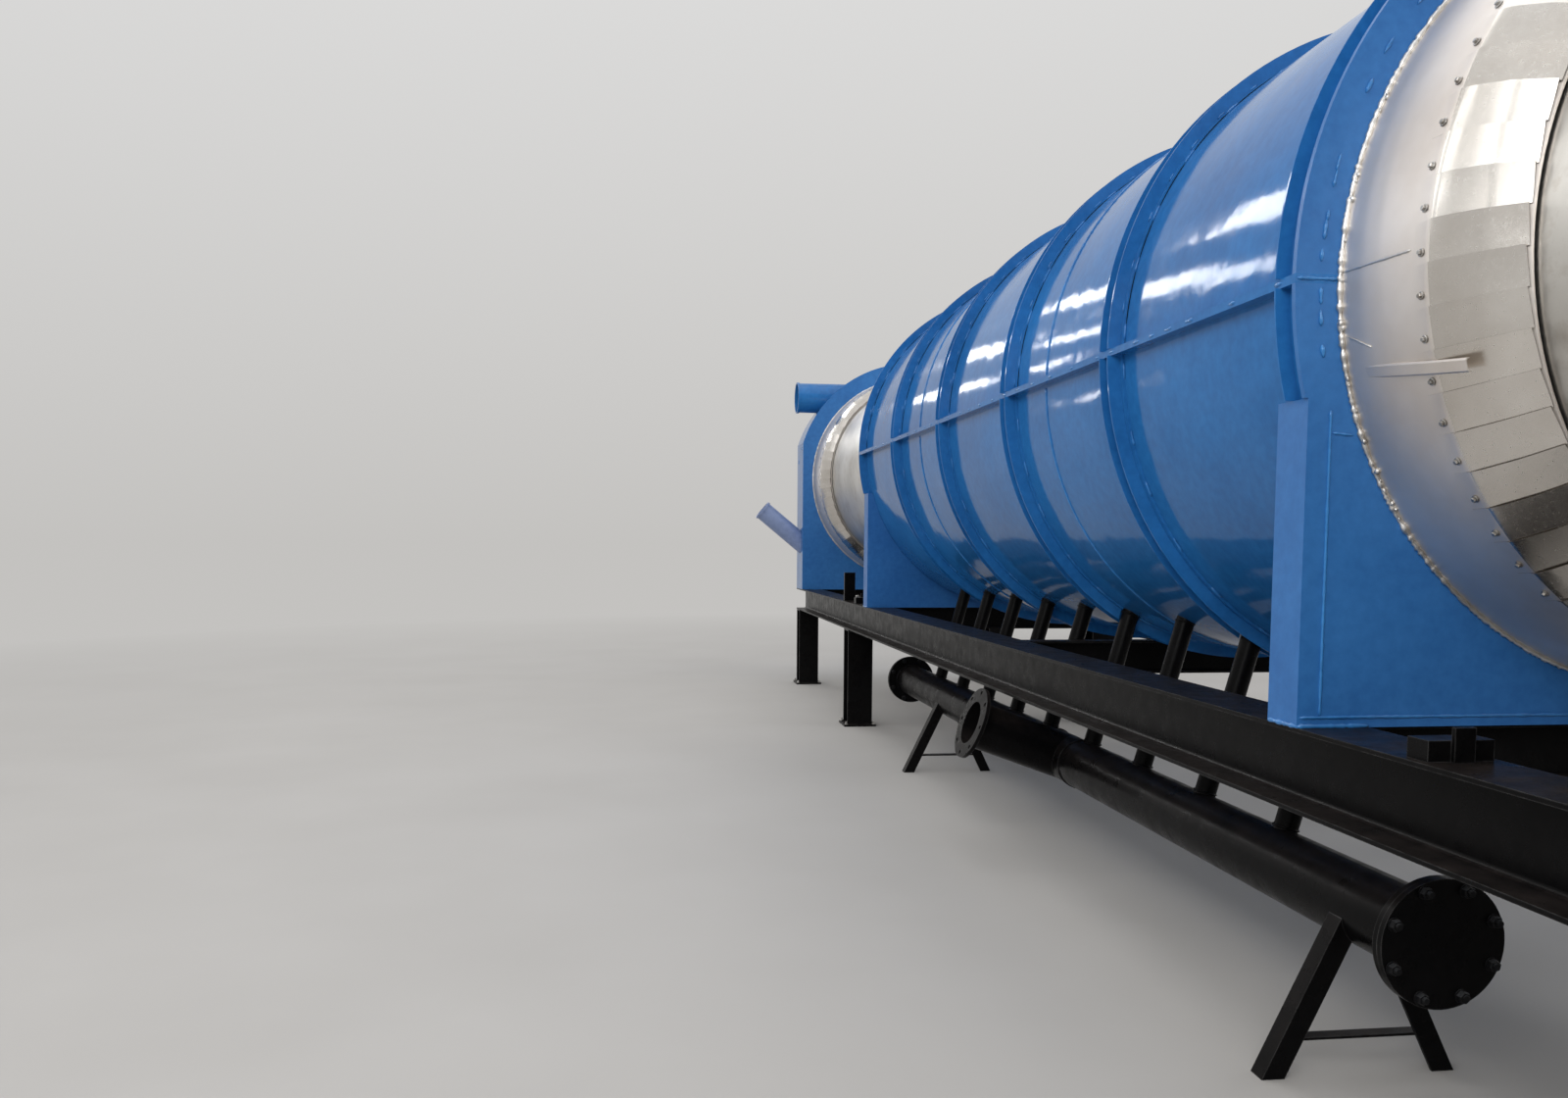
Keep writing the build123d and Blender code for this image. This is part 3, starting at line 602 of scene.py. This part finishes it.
# Stitch welds along the ribs' foot strips and channels, with thin near-black strips between the stitches as
# painted shade in the gaps under the channels
OUTER_RIBS = (0, len(RIBS) - 1)
bm = bmesh.new()
gap_shade_strips = bmesh.new()
for n, y in enumerate(RIBS):
    for edge in free_edges(n, STRIP_HALF):
        a = random.uniform(1, 4)
        while a < 178:
            span = skin_angle(random.uniform(0.05, 0.075))
            gap = skin_angle(random.uniform(0.13, 0.20))
            bead(bm, arc(a, a + span, SKIN + 0.003, y + edge, 0.010), 0.0042, 0.3)
            gap_shade_run = arc(a + span, min(a + span + gap, 179), SKIN + 0.0012, y + edge * 1.012, 0.02)
            bead(gap_shade_strips, gap_shade_run, 0.0019, 0.1, sides=4)
            if n not in OUTER_RIBS:
                bead(bm, arc(-a, -a - span, SKIN + 0.003, y + edge, 0.010), 0.0042, 0.3)
            a += span + gap
    for edge in free_edges(n, CHANNEL_HALF):
        a = random.uniform(1, 4)
        while a < 177:
            span = skin_angle(random.uniform(0.03, 0.05))
            bead(bm, arc(a, a + span, SKIN + 0.010, y + edge * 1.03, 0.010), 0.0034, 0.3)
            a += span + skin_angle(random.uniform(0.09, 0.16))
# seams round the skin, in the second and the fourth bay, on the upper and the lower half
for y in (-1.005, 1.180):
    for low, high in ((1.2, 178.8), (181.2, 358.8)):
        bead(bm, arc(low, high, SKIN + 0.0005, y, 0.010), 0.0048, 0.28)
add("shell_welds", bm, BLUE_WELD)
add("rib_foot_slit_shade", gap_shade_strips, PAINTED_GAP_SHADE)

# Welds of the saddles, and of the housings' fronts to their casings
bm = bmesh.new()
for y, side in FURNACE_FACES:
    face = y + side * PROUD
    foot = BEAM_TOP + 0.004
    for x in (-1, 1):
        bead(bm, line((x * 1.063, face, BEAM_TOP + 0.03), (x * 1.063, face, AZ - 0.325), 0.010),
             0.0042, 0.25)
        bead(bm, line((x * 1.056, face, 1.752), (x * 1.000, face, 1.747), 0.008), 0.0035, 0.3)
        corner = (x * FRAME_HALF_WIDTH, y, foot)
        bead(bm, line(corner, (x * 0.925, y, foot), 0.010), 0.0065, 0.3)
        bead(bm, line(corner, (x * FRAME_HALF_WIDTH, y - side * 0.138, foot), 0.010), 0.0065, 0.3)
    bead(bm, line((-1.118, face, BEAM_TOP + 0.027), (1.118, face, BEAM_TOP + 0.027)), 0.0038, 0.3)
for y, side in HOUSING_FACES:
    for x in (-1, 1):
        edge = x * (FRAME_HALF_WIDTH - 0.002)
        z = BEAM_TOP + 0.05
        while z < AZ:
            bead(bm, line((edge, y, z), (edge, y, z + 0.04), 0.01), 0.0032, 0.3)
            z += random.uniform(0.12, 0.2)
    a = 4
    while a < 176:
        bead(bm, arc(a, a + 2, 1.178, y), 0.0032, 0.3)
        a += random.uniform(6, 9)
add("saddle_welds", bm, BLUE_WELD)

# Welds of the gas manifold, its tee and the burner pipes, which lean and run up to the shell
BURNER_WELD = 0.0385
bm = bmesh.new()
for y in (INLET_Y - TEE_HALF, INLET_Y + TEE_HALF, NEAR_M + 0.021, FAR_M - 0.021):
    bead(bm, circle((MX, y, MZ), (0, 1, 0), MR + 0.001, 60), 0.0042, 0.3, closed=True)
lean = Vector((BURNER_LEAN, 0, 1)).normalized()
for y in BURNERS:
    foot = Vector((MX, y, MZ)) + lean * (MR + 0.004)
    bead(bm, circle(foot, lean, BURNER_WELD), 0.0042, 0.3, closed=True)
    top = Vector((MX, y, MZ)) + lean * 0.5
    while (top - Vector((AX, y, AZ))).length > SKIN:
        top += lean * 0.004
    bead(bm, circle(top - lean * 0.010, lean, BURNER_WELD), 0.0045, 0.3, closed=True)
branch = Vector((-math.cos(INLET_ANGLE), 0, math.sin(INLET_ANGLE)))
flange_neck = Vector((MX, INLET_Y, MZ)) + branch * 0.484
bead(bm, circle(flange_neck, branch, MR + 0.001, 60), 0.0042, 0.3, closed=True)
add("manifold_welds", bm, BLACK)

# Bolts through the blind discs at the manifold's ends, with a nut on the back of each
BOLT_CIRCLE, BOLT_COUNT, FLANGE_PAIR = 0.1475, 8, 0.036
bm = bmesh.new()
for face, side in ((NEAR_M - 0.018, -1), (FAR_M + 0.018, 1)):
    for k in range(BOLT_COUNT):
        a = math.tau * (k + 0.5) / BOLT_COUNT
        at = Vector((MX + BOLT_CIRCLE * math.cos(a), face, MZ + BOLT_CIRCLE * math.sin(a)))
        turn = random.uniform(0, 1)
        fastener(bm, at, (0, side, 0), turn, (0.0165, 0.015), washer=(0.0185, 0.0025),
                 stud=(0.0095, random.uniform(0.004, 0.012)))
        fastener(bm, at - Vector((0, side * FLANGE_PAIR, 0)), (0, -side, 0), turn, (0.0165, 0.011))
add("manifold_nuts", bm, CAST, smooth=False)

# Bolts of the roller stations' bearings and beds, and anchor bolts of the columns
UP = (0, 0, 1)
BEARING_X, BEARING_Y, BED_TOP = 0.700, 0.135, BEAM_TOP + 0.020
bm = bmesh.new()
for end in (-1, 1):
    for x in (-1, 1):
        for y in (-BEARING_Y, BEARING_Y):
            for s in (-1, 1):
                at = Vector((AX + x * BEARING_X + s * 0.118, end * STATION + y, BED_TOP + 0.030))
                fastener(bm, at, UP, random.uniform(0, 1), (0.018, 0.015), washer=(0.021, 0.003),
                         stud=(0.010, 0.012))
        for px in (0.495, 0.965):
            for py in (-0.160, 0.160):
                at = Vector((AX + x * px, end * STATION + py, BED_TOP))
                fastener(bm, at, UP, random.uniform(0, 1), (0.0165, 0.014), washer=(0.020, 0.003))
for y in COLUMN_Y:
    for x in (-COLUMN_X, COLUMN_X):
        for sx in (-1, 1):
            for sy in (-1, 1):
                at = Vector((AX + x + sx * 0.112, y + sy * 0.112, 0.016))
                fastener(bm, at, UP, random.uniform(0, 1), (0.015, 0.010), stud=(0.008, 0.014))
add("station_bolts", bm, BOLT, smooth=False)

# Welds of the columns to their base and cap plates
bm = bmesh.new()
for y in COLUMN_Y:
    for x in (-COLUMN_X, COLUMN_X):
        for z in (0.018, 0.766):
            for s in (-1, 1):
                edge = y + s * 0.100
                bead(bm, line((x - 0.098, edge, z), (x + 0.098, edge, z), 0.014), 0.0045, 0.3)
add("frame_welds", bm, BLACK)


# Floor, background and soft light

def stage_mesh(name, corners, material):
    bm = bmesh.new()
    bm.faces.new([bm.verts.new(c) for c in corners])
    mesh = bpy.data.meshes.new(name)
    bm.to_mesh(mesh)
    bm.free()
    mesh.materials.append(material)
    o = bpy.data.objects.new(name, mesh)
    bpy.context.scene.collection.objects.link(o)


def seen_rays(nt):
    """1 for the rays that see a background, and 0 for those that only carry light."""
    path = node(nt, "ShaderNodeLightPath")
    rays = math_node(nt, "MAXIMUM", path.outputs["Is Camera Ray"], path.outputs["Is Glossy Ray"])
    return math_node(nt, "MAXIMUM", rays, path.outputs["Is Transmission Ray"])


BACKGROUND = (0.55, 0.54, 0.525)
FADE = (6.5, 15.0)          # how far out the floor starts and ends to run into the background
FLOOR_REACH = 60
floor_mat, nt, b = tree("floor_pale")
nt.links.new(ramp(nt, noise_tex(nt, 0.8, 3), [(0.3, (0.475, 0.455, 0.43)), (0.7, (0.505, 0.485, 0.46))]),
             b.inputs["Base Color"])
b.inputs["Roughness"].default_value = 0.75
b.inputs["Specular IOR Level"].default_value = 0.2
far = node(nt, "ShaderNodeVectorMath", operation="LENGTH")
nt.links.new(coords(nt, (1, 0.8, 1)), far.inputs[0])
glow = node(nt, "ShaderNodeEmission")
glow.inputs["Color"].default_value = (*BACKGROUND, 1)
blend = node(nt, "ShaderNodeMixShader")
nt.links.new(math_node(nt, "MULTIPLY", grey(nt, far.outputs["Value"], 0.0, 1.0, FADE), seen_rays(nt)),
             blend.inputs[0])
nt.links.new(b.outputs[0], blend.inputs[1])
nt.links.new(glow.outputs[0], blend.inputs[2])
nt.links.new(blend.outputs[0], nt.nodes["Material Output"].inputs["Surface"])
corners = ((-1, -1), (1, -1), (1, 1), (-1, 1))
stage_mesh("floor", [(x * FLOOR_REACH, y * FLOOR_REACH, 0) for x, y in corners], floor_mat)

world = bpy.data.worlds.new("world")
bpy.context.scene.world = world
world.use_nodes = True
wt = world.node_tree
lit = wt.nodes["Background"]
lit.inputs["Color"].default_value = (0.80, 0.82, 0.85, 1)
lit.inputs["Strength"].default_value = 0.64
seen = node(wt, "ShaderNodeBackground")
height = node(wt, "ShaderNodeSeparateXYZ")
wt.links.new(node(wt, "ShaderNodeTexCoord").outputs["Generated"], height.inputs[0])
wt.links.new(ramp(wt, height.outputs["Z"], [(0.0, BACKGROUND), (0.65, (0.80, 0.80, 0.80))]),
             seen.inputs["Color"])
both = node(wt, "ShaderNodeMixShader")
wt.links.new(seen_rays(wt), both.inputs[0])
wt.links.new(lit.outputs[0], both.inputs[1])
wt.links.new(seen.outputs[0], both.inputs[2])
wt.links.new(both.outputs[0], wt.nodes["World Output"].inputs["Surface"])
bpy.context.scene.view_settings.view_transform = "Standard"


def softbox(name, at, look, size, power):
    """A soft rectangular lamp that stands at a point and shines towards another."""
    light = bpy.data.lights.new(name, "AREA")
    light.shape = "RECTANGLE"
    light.size, light.size_y = size
    light.energy = power
    o = bpy.data.objects.new(name, light)
    bpy.context.scene.collection.objects.link(o)
    o.location = at
    o.rotation_euler = (Vector(look) - Vector(at)).to_track_quat("-Z", "Y").to_euler()
    o.visible_camera = False


# windows beyond the far end, as narrow lamps: middle X and Z, width and height
WINDOWS = ((-9.1, 13.4, 3.4, 1.7), (-11.2, 9.4, 2.0, 1.1), (-8.8, 9.6, 2.1, 1.0),
           (-5.6, 9.9, 2.2, 0.6), (-7.5, 7.75, 1.8, 0.4), (-4.6, 7.9, 2.2, 0.5),
           (-7.4, 6.15, 1.3, 0.35), (-5.1, 6.0, 1.9, 0.4), (-9.5, 3.1, 0.9, 0.35))
WINDOW_Y = 19.0
WINDOW_POWER = 34           # watts for each square metre
for n, (x, z, wide, high) in enumerate(WINDOWS):
    softbox("window_%d" % n, (x, WINDOW_Y, z), (-2.0, 0.0, 2.0), (wide, high), WINDOW_POWER * wide * high)
# tall windows along the left side, high up
SIDE_WINDOW_POWER = 62
for n in range(5):
    softbox("side_window_%d" % n, (-10.0, -9.0 + 4.0 * n, 8.0), (0, -6.0 + 3.0 * n, 1.5), (1.5, 4.6),
            SIDE_WINDOW_POWER)
softbox("front_fill", (-6.5, -11.0, 6.5), (0, -2, 1.5), (7.0, 5.0), 500)
softbox("right_fill", (12.0, 0.0, 7.0), (0, 0, 1.5), (9.0, 4.0), 420)
softbox("top_soft", (0.0, 0.0, 11.0), (0, 0, 0), (9.0, 14.0), 420)
